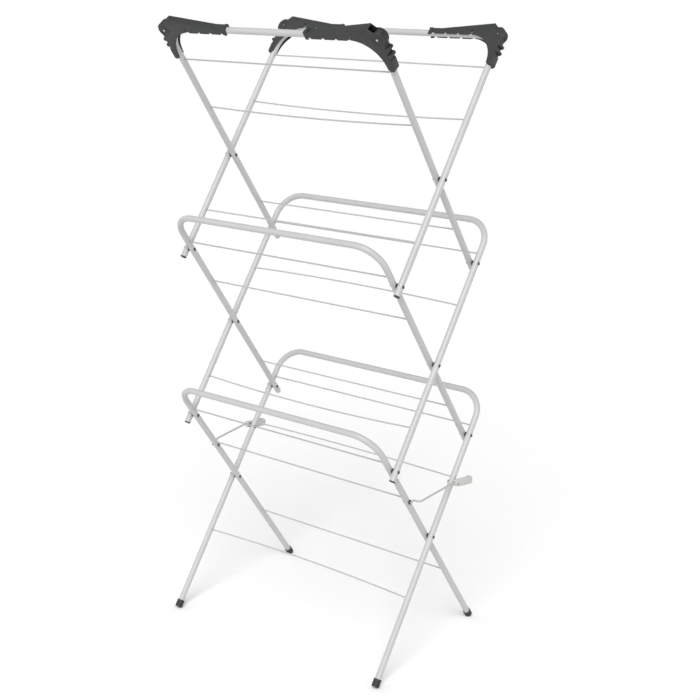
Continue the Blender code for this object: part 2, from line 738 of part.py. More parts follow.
base_inner = make_frame("base_inner", 0, False, foot_end, (0, PIVOT_ARM),
                        cap="foot", cap_name="foot_back")
base_inner["through_holes"].append(rod_hole)
base_outer = make_frame("base_outer", 0, True, foot_end, (0, PIVOT_ARM),
                        cap="foot", cap_name="foot_front",
                        rivets=[("base_centre", 0), ("lower_back", PIVOT_ARM)])
base_outer["through_holes"].append(pin_hole)
middle_outer = make_frame("middle_outer", 1, True, tail_end, (-PIVOT_ARM, 0, PIVOT_ARM),
                          hinge_arm=-PIVOT_ARM, cap="end", cap_name="middle_end_cap",
                          rivets=[("lower_front", -PIVOT_ARM), ("middle_centre", 0),
                                  ("upper_back", PIVOT_ARM)])
middle_inner = make_frame("middle_inner", 1, False, -TAIL_ARM, (-PIVOT_ARM, 0, PIVOT_ARM),
                          domed=True)
top_outer = make_frame("top_outer", 2, True, tail_end, (-PIVOT_ARM, 0),
                       hinge_arm=-PIVOT_ARM, cap="end", cap_name="top_end_cap",
                       rivets=[("upper_front", -PIVOT_ARM), ("top_centre", 0)],
                       cover_name="corner_cover_back", cover_end="back",
                       screw_turn=-math.pi / 2)
top_inner = make_frame("top_inner", 2, False, -TAIL_ARM, (-PIVOT_ARM, 0), domed=True,
                       bar_arm=PIVOT_ARM + TOP_BAR_ABOVE_PIVOT,
                       cover_name="corner_cover_front", cover_end="front",
                       screw_turn=math.pi / 2)

for part in (base_inner, base_outer, middle_outer, middle_inner, top_outer, top_inner):
    part_hinge = build_frame(part)
    if part is base_outer:
        add_latch_pins(part, part_hinge)
for latch_side, latch_sign in SIDES:
    add_latch(latch_side, latch_sign)
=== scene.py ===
"""Looks for the three-tier folding clothes airer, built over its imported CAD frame."""

import math

import bmesh
import bpy
from mathutils import Matrix, Vector


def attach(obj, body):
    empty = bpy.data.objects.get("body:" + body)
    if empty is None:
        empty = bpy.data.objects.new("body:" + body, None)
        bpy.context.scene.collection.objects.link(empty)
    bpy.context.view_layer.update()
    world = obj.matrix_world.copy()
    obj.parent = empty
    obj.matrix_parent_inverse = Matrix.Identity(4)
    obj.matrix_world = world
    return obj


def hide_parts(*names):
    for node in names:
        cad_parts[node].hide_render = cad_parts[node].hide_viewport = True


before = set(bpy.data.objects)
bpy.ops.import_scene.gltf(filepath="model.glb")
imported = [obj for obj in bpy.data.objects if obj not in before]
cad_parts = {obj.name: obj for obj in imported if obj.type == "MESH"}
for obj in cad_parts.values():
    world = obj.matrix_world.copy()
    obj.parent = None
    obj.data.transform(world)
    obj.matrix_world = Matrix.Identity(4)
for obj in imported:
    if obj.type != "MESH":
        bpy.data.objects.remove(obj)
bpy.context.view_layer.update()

# ---- sizes shared with the CAD (metres) ----------------------------------------------------
FIT = 0.0003                # the CAD's gap between pieces
SNUG = 0.0002               # the smaller gap that is left here
LEAN = math.radians(35.9)   # each frame's lean from the vertical
OUTER_SPAN = 0.635          # between the leg axes of a wide frame
TUBE_R = 0.0075
TUBE_WALL = 0.0008
SPACER_T = 0.002            # between a wide frame's leg and a narrow frame's leg
INNER_SPAN = OUTER_SPAN - 2 * (2 * TUBE_R + SPACER_T)
BEND_R = 0.062
PIVOT_ARM = 0.2644          # centre rivet to end rivet, along a leg
BAR_ARM = {"wide": PIVOT_ARM + 0.1096, "narrow": PIVOT_ARM + 0.1125,
           "top_inner": PIVOT_ARM + 0.1193}
TAIL_ARM = PIVOT_ARM + 0.0255
WIRE_R = 0.0018
WIRE_ARM = {"upper": PIVOT_ARM + 0.0256, "middle": PIVOT_ARM - 0.1109,
            "lower": 0.1074 - PIVOT_ARM}
WIRE_RAISE = {("top_inner", "upper"): 0.005}
WIRE_BOW = {("top_inner", "middle"): 0.0075, ("top_outer", "middle"): 0.0070,
            ("middle_outer", "lower"): 0.0085, ("middle_outer", "middle"): -0.0055,
            ("base_outer", "lower"): -0.0070, ("base_outer", "middle"): -0.0035}
FOOT_ARM = 0.374            # centre rivet to the tip of a foot
FOOT_R = TUBE_R + FIT + 0.0017
FOOT_LENGTH = 0.019
FOOT_FLAT = 0.0022          # how deep the floor's facet goes into a foot
FOOT_RINGS = 3
SOLE = 0.003                # inside a foot, below the tube's end
PLUG_FLANGE = 0.0022
PLUG_LENGTH = 0.010
BASE_Z = FOOT_ARM * math.cos(LEAN) + FOOT_R * math.sin(LEAN) - FOOT_FLAT
TIER_RISE = 2 * PIVOT_ARM * math.cos(LEAN)

RIVET_R = 0.0022
RIVET_HEAD_R = 0.0042
RIVET_HEAD_T = 0.0022
RIVET_HOLE_R = 0.0023
SPACER_R = 0.0062

COVER_ARM = 0.190           # length of a cover along the bar, from the leg axis
COVER_HALF = TUBE_R + FIT + 0.0022
COVER_WALL = 0.0020
COVER_EDGE = 0.0011         # rounding of the cover's long edges
COVER_RIDGE = 0.027         # top of the hanger socket, above the bar axis
COVER_RIDGE_LOW = TUBE_R + 0.0012
COVER_RAMP = 0.155          # where the socket starts to rise, from the leg axis
COVER_MOUTH = 0.018         # top of the socket's mouth, from the leg axis
COVER_FLOOR = 0.0118        # floor of the socket, above the bar axis
COVER_ARC = 0.075           # centre of the inner edge, from both axes
COVER_ARC_R = 0.0705
COVER_FOOT = 0.081          # lower end, below the bar axis
COVER_LIP = -0.006          # edge along the underside of the bar
COLLAR_LENGTH = 0.0085
NOTCH_R = 0.004
NOTCH_COUNT = 4
NOTCH_FROM_END = 0.0135
NOTCH_PITCH = 0.0345
CLIP_LOW = (-0.0735, -0.0010)   # slot through both walls, two opposite corners
CLIP_HIGH = (-0.0690, 0.0060)
KNOB_R = 0.0045
KNOB_X = 0.0122
KNOB_DOWN = (0.0425, 0.0265)
SCREW_X = -0.0015
SCREW_Z = -0.0005
SCREW_R = 0.0013
SCREW_HEAD_R = 0.0025
HUMP = (SCREW_X - 0.0012, SCREW_Z)
HUMP_R = 0.0184             # the cover's outer edge round its screw

LATCH_ARM = WIRE_ARM["middle"] - 0.013
LATCH_ROD_R = 0.0024
LATCH_RISE = 0.0075         # strut of the rod above its pivot
LATCH_BOW = {"left": 0.0059, "right": 0.0280}   # strut's start outside the narrow leg
LATCH_BEND_R = {"left": 0.005, "right": 0.009}
ROD_COLLAR_T = 0.0024
ROD_COLLAR_R = 0.0055
PIN_R = 0.0024
PIN_HEAD_R = 0.0044
WASHER_T = 0.0034
WASHER_R = 0.0050
GRIP_T = 0.009
GRIP_NOSE = 0.010
GRIP_TAIL = 0.065
GRIP_ROD_UP = 0.0070        # rod above the pin, inside the grip
LATCH_X = OUTER_SPAN / 2 + TUBE_R + WASHER_T + 2 * FIT + GRIP_T / 2

SIDES = (("left", -1), ("right", 1))

LOOKS = bpy.data.collections.new("looks")
bpy.context.scene.collection.children.link(LOOKS)


# ---- materials ---------------------------------------------------------------------------
def noise(tree, coords, scale, detail=3.0, roughness=0.55):
    node = tree.nodes.new("ShaderNodeTexNoise")
    node.inputs["Scale"].default_value = scale
    node.inputs["Detail"].default_value = detail
    node.inputs["Roughness"].default_value = roughness
    tree.links.new(coords.outputs["Object"], node.inputs["Vector"])
    return node


def spread(tree, source, low, high, start=0.3, end=0.7):
    """The source's value from start to end, mapped on to low to high."""
    node = tree.nodes.new("ShaderNodeMapRange")
    node.inputs["From Min"].default_value = start
    node.inputs["From Max"].default_value = end
    node.inputs["To Min"].default_value = low
    node.inputs["To Max"].default_value = high
    tree.links.new(source.outputs[0], node.inputs["Value"])
    return node


def shade(colour, factor):
    return (*(min(channel * factor, 1.0) for channel in colour), 1.0)


def surface(name, colour, roughness, grain, grain_depth, tone=0.05, metallic=0.0, coat=0.0,
            ior=1.5, patch=9.0, worn=None):
    """A finish with fine grain, cloudy roughness and a slightly uneven colour."""
    material = bpy.data.materials.new(name)
    material.use_nodes = True
    tree = material.node_tree
    shader = tree.nodes["Principled BSDF"]
    shader.inputs["Metallic"].default_value = metallic
    shader.inputs["Coat Weight"].default_value = coat
    shader.inputs["Coat Roughness"].default_value = 0.25
    shader.inputs["IOR"].default_value = ior
    coords = tree.nodes.new("ShaderNodeTexCoord")
    clouds = noise(tree, coords, patch, 5.0, 0.6)
    fine = noise(tree, coords, patch * 22, 3.0, 0.6)
    mix = tree.nodes.new("ShaderNodeMix")
    mix.data_type = "RGBA"
    mix.inputs["A"].default_value = shade(colour, 1 - tone)
    mix.inputs["B"].default_value = shade(colour, 1 + tone)
    tree.links.new(spread(tree, clouds, 0.0, 1.0).outputs[0], mix.inputs["Factor"])
    last = mix
    if worn is not None:
        specks = noise(tree, coords, 330.0, 4.0, 0.7)
        amount = spread(tree, specks, 0.0, 0.55, 0.66, 0.72)
        wear = tree.nodes.new("ShaderNodeMix")
        wear.data_type = "RGBA"
        wear.inputs["B"].default_value = (*worn, 1.0)
        tree.links.new(mix.outputs["Result"], wear.inputs["A"])
        tree.links.new(amount.outputs[0], wear.inputs["Factor"])
        last = wear
    tree.links.new(last.outputs["Result"], shader.inputs["Base Color"])
    tree.links.new(spread(tree, fine, roughness - 0.07, roughness + 0.09).outputs[0],
                   shader.inputs["Roughness"])
    peel = noise(tree, coords, grain, 2.0, 0.5)
    bump = tree.nodes.new("ShaderNodeBump")
    bump.inputs["Strength"].default_value = 0.6
    bump.inputs["Distance"].default_value = grain_depth
    tree.links.new(peel.outputs[0], bump.inputs["Height"])
    tree.links.new(bump.outputs["Normal"], shader.inputs["Normal"])
    return material


TUBE_PAINT = surface("tube_powder_coat", (0.455, 0.46, 0.455), 0.36, 1500.0, 0.00006, 0.03,
                     coat=0.15, worn=(0.39, 0.39, 0.38))
WIRE_PAINT = surface("wire_powder_coat", (0.42, 0.425, 0.42), 0.40, 1800.0, 0.00005, 0.04,
                     coat=0.1, worn=(0.45, 0.45, 0.44))
COVER_PLASTIC = surface("charcoal_plastic", (0.023, 0.024, 0.025), 0.50, 2600.0, 0.00009,
                        0.10, patch=30.0, worn=(0.040, 0.041, 0.043))
CAP_PLASTIC = surface("black_soft_plastic", (0.022, 0.022, 0.023), 0.55, 2200.0, 0.00010,
                      0.12, patch=60.0, worn=(0.05, 0.048, 0.045))
GRIP_PLASTIC = surface("grip_plastic", (0.52, 0.52, 0.49), 0.42, 2400.0, 0.00006, 0.04,
                       patch=40.0, worn=(0.45, 0.45, 0.42))
RIVET_STEEL = surface("dark_rivet_steel", (0.075, 0.075, 0.08), 0.38, 900.0, 0.00005, 0.15,
                      metallic=0.8, patch=120.0, worn=(0.25, 0.25, 0.25))
SCREW_STEEL = surface("zinc_screw", (0.66, 0.66, 0.65), 0.30, 900.0, 0.00004, 0.06,
                      metallic=1.0, patch=150.0)


# ---- meshes ------------------------------------------------------------------------------
def finish_mesh(bm, name, angle=38):
    """The bmesh as a mesh, smooth but for edges sharper than the angle in degrees."""
    bmesh.ops.recalc_face_normals(bm, faces=bm.faces)
    mesh = bpy.data.meshes.new(name)
    bm.to_mesh(mesh)
    bm.free()
    mesh.shade_smooth()
    mesh.set_sharp_from_angle(angle=math.radians(angle))
    return mesh


def sweep(name, points, radius, sides=24, share=None):
    """A round bar along the points, closed at both ends."""
    points = [Vector(point) for point in points]
    bm = bmesh.new()
    tangents = []
    for index in range(len(points)):
        before = points[max(index - 1, 0)]
        after = points[min(index + 1, len(points) - 1)]
        tangents.append((after - before).normalized())
    up = Vector((0, 1, 0)) if abs(tangents[0].y) < 0.9 else Vector((0, 0, 1))
    normal = (up - tangents[0] * up.dot(tangents[0])).normalized()
    rings = []
    for index, point in enumerate(points):
        if index:
            turn = tangents[index - 1].rotation_difference(tangents[index])
            normal = turn @ normal
        normal = (normal - tangents[index] * normal.dot(tangents[index])).normalized()
        side = tangents[index].cross(normal)
        reach = radius * (share[index] if share else 1.0)
        ring = []
        for step in range(sides):
            angle = 2 * math.pi * step / sides
            offset = normal * math.cos(angle) + side * math.sin(angle)
            ring.append(bm.verts.new(point + offset * reach))
        rings.append(ring)
    for low, high in zip(rings, rings[1:]):
        for step in range(sides):
            after = (step + 1) % sides
            bm.faces.new((low[step], low[after], high[after], high[step]))
    bm.faces.new(rings[0])
    bm.faces.new(rings[-1])
    return finish_mesh(bm, name)


def lathe(name, profile, steps=32):
    """A profile of (radius, height) turned about Z."""
    bm = bmesh.new()
    rings = []
    for radius, height in profile:
        if radius < 1e-7:
            rings.append([bm.verts.new((0, 0, height))])
            continue
        rings.append([bm.verts.new((radius * math.cos(2 * math.pi * step / steps),
                                    radius * math.sin(2 * math.pi * step / steps), height))
                      for step in range(steps)])
    for low, high in zip(rings, rings[1:]):
        for step in range(steps):
            after = (step + 1) % steps
            corners = [low[step % len(low)], low[after % len(low)],
                       high[after % len(high)], high[step % len(high)]]
            unique = list(dict.fromkeys(corners))
            if len(unique) > 2:
                bm.faces.new(unique)
    return finish_mesh(bm, name)


def arc(centre, radius, start, end, steps):
    """Points from angle start to angle end, in degrees, both included."""
    points = []
    for step in range(steps + 1):
        angle = math.radians(start + (end - start) * step / steps)
        points.append((centre[0] + radius * math.cos(angle),
                       centre[1] + radius * math.sin(angle)))
    return points


def plate(name, outline, half, bevel=0.0, low=None):
    """An outline in X and Z, thickened along Y to +-half (or from low to half), edges rounded."""
    data = bpy.data.curves.new(name, "CURVE")
    data.dimensions = "2D"
    data.fill_mode = "BOTH"
    middle = 0.0 if low is None else (low + half) / 2
    data.extrude = (half if low is None else (half - low) / 2) - bevel
    data.bevel_depth = bevel
    data.bevel_resolution = 2
    data.offset = -bevel
    spline = data.splines.new("POLY")
    spline.points.add(len(outline) - 1)
    for index, (x, z) in enumerate(outline):
        spline.points[index].co = (x, z, 0.0, 1.0)
    spline.use_cyclic_u = True
    curve = bpy.data.objects.new(name, data)
    LOOKS.objects.link(curve)
    graph = bpy.context.evaluated_depsgraph_get()
    raw = bpy.data.meshes.new_from_object(curve.evaluated_get(graph))
    bpy.data.objects.remove(curve, do_unlink=True)
    bm = bmesh.new()
    bm.from_mesh(raw)
    bmesh.ops.remove_doubles(bm, verts=bm.verts, dist=0.00002)
    place = Matrix.Translation((0, middle, 0)) @ Matrix.Rotation(math.pi / 2, 4, "X")
    bmesh.ops.transform(bm, matrix=place, verts=bm.verts)
    return finish_mesh(bm, name)


def rod_tool(tool, start, end, radius, sides=24):
    """Adds a round cutter from start to end to the bmesh called tool."""
    axis = Vector(end) - Vector(start)
    place = Matrix.Translation((Vector(start) + Vector(end)) / 2)
    turn = Vector((0, 0, 1)).rotation_difference(axis).to_matrix().to_4x4()
    bmesh.ops.create_cone(tool, cap_ends=True, segments=sides, radius1=radius,
                          radius2=radius, depth=axis.length, matrix=place @ turn)


def block_tool(tool, low, high, turn=None):
    """Adds a box cutter between two corners, turned about its middle if asked."""
    size = Vector(high) - Vector(low)
    place = Matrix.Translation((Vector(low) + Vector(high)) / 2)
    if turn is not None:
        place = place @ turn
    bmesh.ops.create_cube(tool, size=1.0, matrix=place @ Matrix.Diagonal((*size, 1.0)))


def cut(mesh, *tools, angle=38):
    """The mesh with every tool's volume taken away."""
    body = bpy.data.objects.new("cut_body", mesh)
    LOOKS.objects.link(body)
    helpers = []
    for tool in tools:
        if isinstance(tool, bmesh.types.BMesh):
            tool = finish_mesh(tool, "cut_tool")
        helper = bpy.data.objects.new("cut_tool", tool)
        LOOKS.objects.link(helper)
        helpers.append(helper)
        boolean = body.modifiers.new("cut", "BOOLEAN")
        boolean.operation = "DIFFERENCE"
        boolean.solver = "EXACT"
        boolean.use_self = len(tools) == 1
        boolean.object = helper
    bpy.context.view_layer.update()
    graph = bpy.context.evaluated_depsgraph_get()
    result = bpy.data.meshes.new_from_object(body.evaluated_get(graph))
    for obj in [body] + helpers:
        bpy.data.objects.remove(obj, do_unlink=True)
    result.shade_smooth()
    result.set_sharp_from_angle(angle=math.radians(angle))
    return result


def merged(name, *meshes):
    """Several closed meshes as one object's mesh."""
    bm = bmesh.new()
    for mesh in meshes:
        bm.from_mesh(mesh)
    return finish_mesh(bm, name)


def mirrored(mesh):
    """A copy for the left side of a mesh made for the right."""
    copy = mesh.copy()
    copy.transform(Matrix.Scale(-1, 4, (1, 0, 0)))
    copy.flip_normals()
    return copy


def put(name, mesh, material, body, place, stands_for=()):
    """Adds a piece at its rest place, riding a body and standing for some CAD nodes."""
    obj = bpy.data.objects.new(name, mesh)
    mesh.materials.clear()
    mesh.materials.append(material)
    LOOKS.objects.link(obj)
    obj.matrix_world = place
    bpy.context.view_layer.update()
    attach(obj, body)
    if stands_for:
        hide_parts(*stands_for)
    return obj


def frame_place(tier, wide):
    """From a frame's own axes, with Z up its legs from the centre rivet, to the world."""
    lean = -LEAN if wide else LEAN
    rise = Matrix.Translation((0, 0, BASE_Z + tier * TIER_RISE))
    return rise @ Matrix.Rotation(lean, 4, "X")


def on_side(sign):
    """Turns a part made along Z so that Z points out of the rack on that side."""
    return Matrix.Rotation(sign * math.pi / 2, 4, "Y")


# ---- tubes and wires ---------------------------------------------------------------------
def tube_mesh(name, span, bar_arm, leg_end, domed, through, wire_holes):
    """A U-shaped tube; through has the arm and radius of each hole for a rivet or rod."""
    side = span / 2
    right = []
    share = []
    if domed:
        for drop, radius in ((0.0, 0.40), (0.0005, 0.62), (0.0014, 0.80), (0.0028, 0.93),
                             (0.0048, 1.0)):
            right.append((side, leg_end + drop))
            share.append(radius)
    else:
        right.append((side, leg_end))
        share.append(1.0)
    bend = arc((side - BEND_R, bar_arm - BEND_R), BEND_R, 0, 90, 20)
    right += bend
    share += [1.0] * len(bend)
    flat = right + [(-x, z) for x, z in reversed(right)]
    share = share + share[::-1]
    outer = sweep(name, [(x, 0, z) for x, z in flat], TUBE_R, 32, share)
    tool = bmesh.new()
    reach = TUBE_R + 0.002
    for sign in (-1, 1):
        leg = sign * side
        for arm, radius in through:
            rod_tool(tool, (leg - reach, 0, arm), (leg + reach, 0, arm), radius, 20)
        for arm in wire_holes:
            rod_tool(tool, (leg - sign * reach, 0, arm), (leg - sign * 0.002, 0, arm),
                     WIRE_R + 0.0007, 20)
    return cut(outer, tool)


def wire_mesh(name, span, arm, bow):
    end = span / 2 - TUBE_R + 0.003
    steps = 32 if bow else 2
    points = []
    for step in range(steps + 1):
        across = 2 * step / steps - 1
        points.append((across * end, 0, arm - bow * (1 - across ** 2)))
    return sweep(name, points, WIRE_R, 16)


# ---- rivets, caps, feet ------------------------------------------------------------------
def dome(radius, height, seat, steps=6):
    """A rounded head above seat, from its top down to its rim."""
    points = []
    for step in range(steps + 1):
        angle = math.pi / 2 * (1 - step / steps)
        points.append((radius * math.cos(angle), seat + height * math.sin(angle)))
    return points


def rivet_mesh():
    """A domed head outside the wide leg and a clinched tail inside the narrow one."""
    head = OUTER_SPAN / 2 + TUBE_R - SNUG
    tail = INNER_SPAN / 2 - TUBE_R + SNUG
    profile = dome(RIVET_HEAD_R, RIVET_HEAD_T, head)
    profile += [(RIVET_R, head), (RIVET_R, tail), (0.0038, tail)]
    profile += [(0.0040, tail - 0.0005), (0.0034, tail - 0.0013), (0.0024, tail - 0.0016),
                (0.0016, tail - 0.0010), (0.0, tail - 0.0008)]
    return lathe("rivet", profile, 32)


def spacer_mesh():
    """The plastic collar between two legs."""
    out = OUTER_SPAN / 2 - TUBE_R - SNUG / 2
    inn = INNER_SPAN / 2 + TUBE_R + SNUG / 2
    return washer_mesh(out, inn, SPACER_R, RIVET_R + SNUG)


def foot_mesh():
    """A cap over a leg's end, with a rounded sole and raised rings round its wall."""
    bore = TUBE_R + SNUG
    edge = 0.0022
    profile = [(0.0, 0.0)]
    profile += [(FOOT_R - edge + edge * math.sin(angle), edge - edge * math.cos(angle))
                for angle in (math.pi / 2 * step / 5 for step in range(6))]
    for index in range(FOOT_RINGS):
        low = edge + 0.0015 + index * 0.0036
        profile += [(FOOT_R, low), (FOOT_R - 0.0006, low + 0.0004),
                    (FOOT_R - 0.0006, low + 0.0012), (FOOT_R, low + 0.0016)]
    profile += [(FOOT_R, FOOT_LENGTH - 0.0012), (FOOT_R - 0.0004, FOOT_LENGTH - 0.0003),
                (FOOT_R - 0.0010, FOOT_LENGTH), (bore, FOOT_LENGTH), (bore, SOLE), (0.0, SOLE)]
    return lathe("foot", profile, 40)


def plug_mesh():
    """An end plug: a thin rounded flange below the tube's end and a body up its bore."""
    bore = TUBE_R - TUBE_WALL - FIT
    return lathe("plug", [(0.0, 0.0), (TUBE_R - 0.0014, 0.0), (TUBE_R - 0.0006, 0.0003),
                          (TUBE_R - 0.0001, 0.0010), (TUBE_R - 0.0001, PLUG_FLANGE),
                          (bore, PLUG_FLANGE), (bore, PLUG_LENGTH), (0.0, PLUG_LENGTH)], 40)


def sit_on_floor(mesh, place):
    """The foot's mesh with whatever is under the floor taken off."""
    tool = bmesh.new()
    block_tool(tool, (-1, -1, -0.1), (1, 1, 0))
    bmesh.ops.transform(tool, matrix=place.inverted(), verts=tool.verts)
    return cut(mesh, tool)


# ---- corner covers -----------------------------------------------------------------------
def ridge(across):
    """Top edge of a cover above the bar axis; across is measured from the leg axis."""
    share = (across + COVER_RAMP) / (COVER_RAMP - COVER_MOUTH)
    return COVER_RIDGE_LOW + (COVER_RIDGE - COVER_RIDGE_LOW) * min(max(share, 0.0), 1.0)


def cover_outline():
    """Outline of a right-hand cover; the origin is where the leg and bar axes cross."""
    foot = -COVER_FOOT
    start = -COVER_ARM + COLLAR_LENGTH - 0.0005
    points = [(start, COVER_LIP), (-COVER_ARC - 0.008, COVER_LIP)]
    points += arc((-COVER_ARC, -COVER_ARC), COVER_ARC_R, 88, 10, 28)
    points += [(-0.0040, foot + 0.006), (-0.0018, foot + 0.0033), (0.000, foot + 0.0015)]
    points += [(0.002, foot + 0.0004), (0.004, foot), (0.0075, foot + 0.0001)]
    points += [(0.0098, foot + 0.0008), (0.0112, foot + 0.0022), (0.0120, foot + 0.005)]
    points += [(0.0122, foot + 0.010), (0.0122, foot + 0.018), (0.0124, foot + 0.024)]
    points += [(0.0122, foot + 0.0275), (0.0100, foot + 0.0300), (0.0100, -0.0180)]
    points += arc(HUMP, HUMP_R, -44, 78, 20)
    points += [(-0.0040, 0.0172), (-0.0080, 0.0172), (-COVER_MOUTH, ridge(-COVER_MOUTH))]
    points += [(-COVER_RAMP, ridge(-COVER_RAMP)), (start, ridge(start))]
    return points


def cover_cavity():
    """The hollow of a cover: open along its inner edge and at the socket's mouth."""
    foot = -COVER_FOOT
    start = -COVER_ARM + 0.006
    low = COVER_FLOOR - 0.0042
    mouth = COVER_RIDGE - COVER_WALL
    points = [(start, -COVER_ARC), (start, low), (-COVER_RAMP, low), (-COVER_MOUTH, mouth)]
    points += [(0.004, mouth), (0.004, 0.0195), (-0.0062, COVER_FLOOR + 0.002)]
    points += arc(HUMP, HUMP_R - COVER_WALL, 50, -38, 12)
    points += [(0.0084, -0.0170), (0.0084, foot + 0.0285), (0.0104, foot + 0.0255)]
    points += [(0.0100, foot + 0.012), (0.0080, foot + 0.004), (0.004, foot - 0.004)]
    points += [(-0.012, foot - 0.004), (-COVER_ARC, -COVER_ARC)]
    return points


def groove(low, high, inner, outer):
    """A curved slot through the web round the hump, from low to high across the cover."""
    ring = arc((SCREW_X, SCREW_Z), outer, -30, 48, 14)
    ring += arc((SCREW_X, SCREW_Z), inner, 48, -30, 14)
    return plate("groove", ring, high, 0.0, low)


def ring_on_wall(side, centre, radius, width, height):
    """A raised ring on one wall: side is -1 for the front wall and 1 for the back one."""
    seat = COVER_HALF - 0.0004
    top = COVER_HALF + height
    half = width / 2
    profile = [(radius - half, seat), (radius - half, top - 0.0002),
               (radius - half * 0.4, top), (radius + half * 0.4, top),
               (radius + half, top - 0.0002), (radius + half, seat), (radius - half, seat)]
    mesh = lathe("ring", profile, 48)
    turn = Matrix.Rotation(-side * math.pi / 2, 4, "X")
    mesh.transform(Matrix.Translation((centre[0], 0, centre[1])) @ turn)
    return mesh


def pad_on_wall(side, outline, height, bevel=0.0003):
    """A raised patch on one wall, with rounded edges."""
    seat = COVER_HALF - 0.0006
    top = COVER_HALF + height
    if side > 0:
        return plate("pad", outline, top, bevel, seat)
    return plate("pad", outline, -seat, bevel, -top)


def cover_shell():
    """The hollow moulding: tube bed, notches, screw hole, clip slot and hump grooves."""
    shell = plate("shell", cover_outline(), COVER_HALF, COVER_EDGE)
    bed_path = [(0.0, 0, -COVER_FOOT - 0.05)]
    bed_path += [(x, 0, z) for x, z in arc((-BEND_R, -BEND_R), BEND_R, 0, 90, 20)]
    bed_path += [(-COVER_ARM - 0.02, 0, 0)]
    bed = sweep("bed", bed_path, TUBE_R + SNUG, 32)
    far = COVER_HALF + 0.002
    tool = bmesh.new()
    for index in range(NOTCH_COUNT):
        across = -COVER_ARM + NOTCH_FROM_END + index * NOTCH_PITCH
        rod_tool(tool, (across, -far, COVER_LIP), (across, far, COVER_LIP), NOTCH_R, 24)
    rod_tool(tool, (SCREW_X, -far, SCREW_Z), (SCREW_X, far, SCREW_Z), 0.002, 20)
    block_tool(tool, (CLIP_LOW[0], -far, CLIP_LOW[1]), (CLIP_HIGH[0], far, CLIP_HIGH[1]))
    cavity = plate("cavity", cover_cavity(), COVER_HALF - COVER_WALL)
    tools = [cavity, bed, tool]
    for low, high in ((-0.0072, -0.0034), (-0.0020, 0.0020), (0.0034, 0.0072)):
        tools.append(groove(low, high, 0.0165, 0.0200))
    return cut(shell, *tools)


def collar_mesh():
    """The thick rim at the cover's end along the bar, open below for the tube."""
    end = -COVER_ARM
    inner_end = end + COLLAR_LENGTH
    top = ridge(end + 0.006) + 0.0018
    low = COVER_LIP - 0.0020
    collar = plate("collar", [(end, low), (inner_end, low), (inner_end, top), (end, top)],
                   COVER_HALF, 0.0018)
    trough = bmesh.new()
    rod_tool(trough, (end - 0.01, 0, 0), (end + 0.02, 0, 0), TUBE_R + SNUG, 32)
    block_tool(trough, (end - 0.01, -TUBE_R, -0.02), (end + 0.02, TUBE_R, 0.0))
    return cut(collar, finish_mesh(trough, "trough"))


def knob_mesh(down):
    """A waisted knob across the cover's outer edge."""
    half = [(0.0, COVER_HALF), (KNOB_R - 0.0009, COVER_HALF),
            (KNOB_R - 0.0002, COVER_HALF - 0.0003), (KNOB_R, COVER_HALF - 0.0010),
            (KNOB_R, 0.0050), (KNOB_R - 0.0013, 0.0046)]
    other = [(radius, -height) for radius, height in reversed(half)]
    knob = lathe("knob", half + other, 28)
    place = Matrix.Translation((KNOB_X, 0, -down))
    knob.transform(place @ Matrix.Rotation(math.pi / 2, 4, "X"))
    return knob


def wall_details(side):
    """Rings round the screw, the socket's panel and ribs, and ribs at the lower end."""
    screw = (SCREW_X, SCREW_Z)
    pieces = [ring_on_wall(side, screw, radius, 0.0011, 0.0004)
              for radius in (0.0140, 0.0112, 0.0084)]
    pieces.append(ring_on_wall(side, screw, 0.0048, 0.0020, 0.0006))
    panel = [(-0.150, 0.0062), (-0.150, ridge(-0.150) - 0.0012),
             (-0.0215, ridge(-0.0215) - 0.0016), (-0.0190, 0.0225), (-0.060, 0.0120)]
    pieces.append(pad_on_wall(side, panel, 0.0003))
    for index in range(4):
        across = -0.027 - index * 0.0085
        top = ridge(across) - 0.0016
        rib = [(across - 0.0004, 0.0175), (across + 0.0004, 0.0175),
               (across + 0.0004, top), (across - 0.0004, top)]
        pieces.append(pad_on_wall(side, rib, 0.0006, 0.0002))
    for index in range(3):
        rise = -0.070 + index * 0.0055
        rib = [(0.0010, rise), (0.0110, rise + 0.0030), (0.0110, rise + 0.0038),
               (0.0010, rise + 0.0008)]
        pieces.append(pad_on_wall(side, rib, 0.0003, 0.0002))
    return pieces


def cover_mesh():
    """A right-hand cover with everything moulded on it, as one mesh."""
    knobs = [knob_mesh(down) for down in KNOB_DOWN]
    details = wall_details(-1) + wall_details(1)
    return merged("corner_cover", cover_shell(), collar_mesh(), *knobs, *details)


def cover_screw_mesh():
    """A domed screw with a crossed slot, seated on the ring round its hole."""
    seat = COVER_HALF + 0.0006
    profile = dome(SCREW_HEAD_R, 0.0012, seat)
    profile += [(SCREW_R, seat), (SCREW_R, -COVER_HALF), (0.0, -COVER_HALF)]
    head = lathe("cover_screw", profile, 28)
    tool = bmesh.new()
    for turn in (0.4, 0.4 + math.pi / 2):
        block_tool(tool, (-0.0003, -0.0015, seat + 0.0006), (0.0003, 0.0015, seat + 0.003),
                   Matrix.Rotation(turn, 4, "Z"))
    return cut(head, tool)


# ---- fold locks --------------------------------------------------------------------------
def latch_points():
    """Where the rod turns in the narrow frame and where the pin sits in the wide one."""
    pivot = (-LATCH_ARM * math.sin(LEAN), BASE_Z + LATCH_ARM * math.cos(LEAN))
    pin = (LATCH_ARM * math.sin(LEAN), BASE_Z + LATCH_ARM * math.cos(LEAN))
    return pivot, pin


